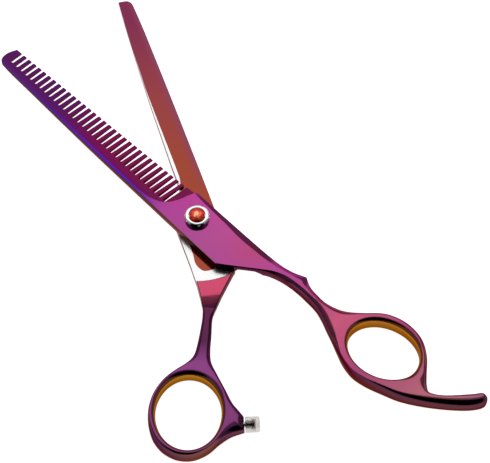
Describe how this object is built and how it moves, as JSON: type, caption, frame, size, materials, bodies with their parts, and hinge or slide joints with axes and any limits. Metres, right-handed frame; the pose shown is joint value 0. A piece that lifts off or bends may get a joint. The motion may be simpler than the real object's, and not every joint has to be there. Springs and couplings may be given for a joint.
{
  "type": "thinning shears",
  "caption": "Open hair thinning shears: toothed blade over plain blade, offset finger rings, finger rest, clear bumper and jewelled tension nut on the pivot bolt.",
  "frame": {"origin": "on the pivot axis in the plane of the bolt head's flat back, the face that is uppermost when the shears are turned over", "axes": "+Z along the pivot axis towards the jewelled nut; +Y midway between the two blades, towards their tips; the parting plane between the halves is at z = 3 mm"},
  "size_m": [0.0962, 0.1928, 0.0087],
  "materials": {
    "coated_steel_magenta": "mirror polish under a magenta-violet vapour coating",
    "coated_steel_copper": "mirror polish under a magenta vapour coating, copper-red on the blade's inner face, bare at the edge",
    "bare_steel": "fine ground",
    "chromed_steel": "bright",
    "white_nylon": "plain",
    "red_stone": "faceted red-orange crystal glass",
    "clear_silicone": "clear soft silicone"
  },
  "bodies": {
    "thumb_half": {"plain_blade": "coated_steel_copper", "pivot_bolt": "bare_steel", "bumper_pin": "bare_steel", "bumper": "clear_silicone"},
    "finger_half": {"comb_blade": "coated_steel_magenta", "glide_washer": "white_nylon"},
    "adjuster": {"adjuster_nut": "chromed_steel", "jewel": "red_stone", "spring_washer": "bare_steel"}
  },
  "joints": [
    {"name": "blade_pivot", "type": "hinge", "parent": "thumb_half", "child": "finger_half", "pos_m": [0, 0, 0.003], "axis": [0, 0, 1], "range_deg": [-25, 95]},
    {"name": "tension_nut_turn", "type": "hinge", "parent": "thumb_half", "child": "adjuster", "pos_m": [0, 0, 0.006], "axis": [0, 0, 1], "range_deg": [-90, 90]}
  ]
}
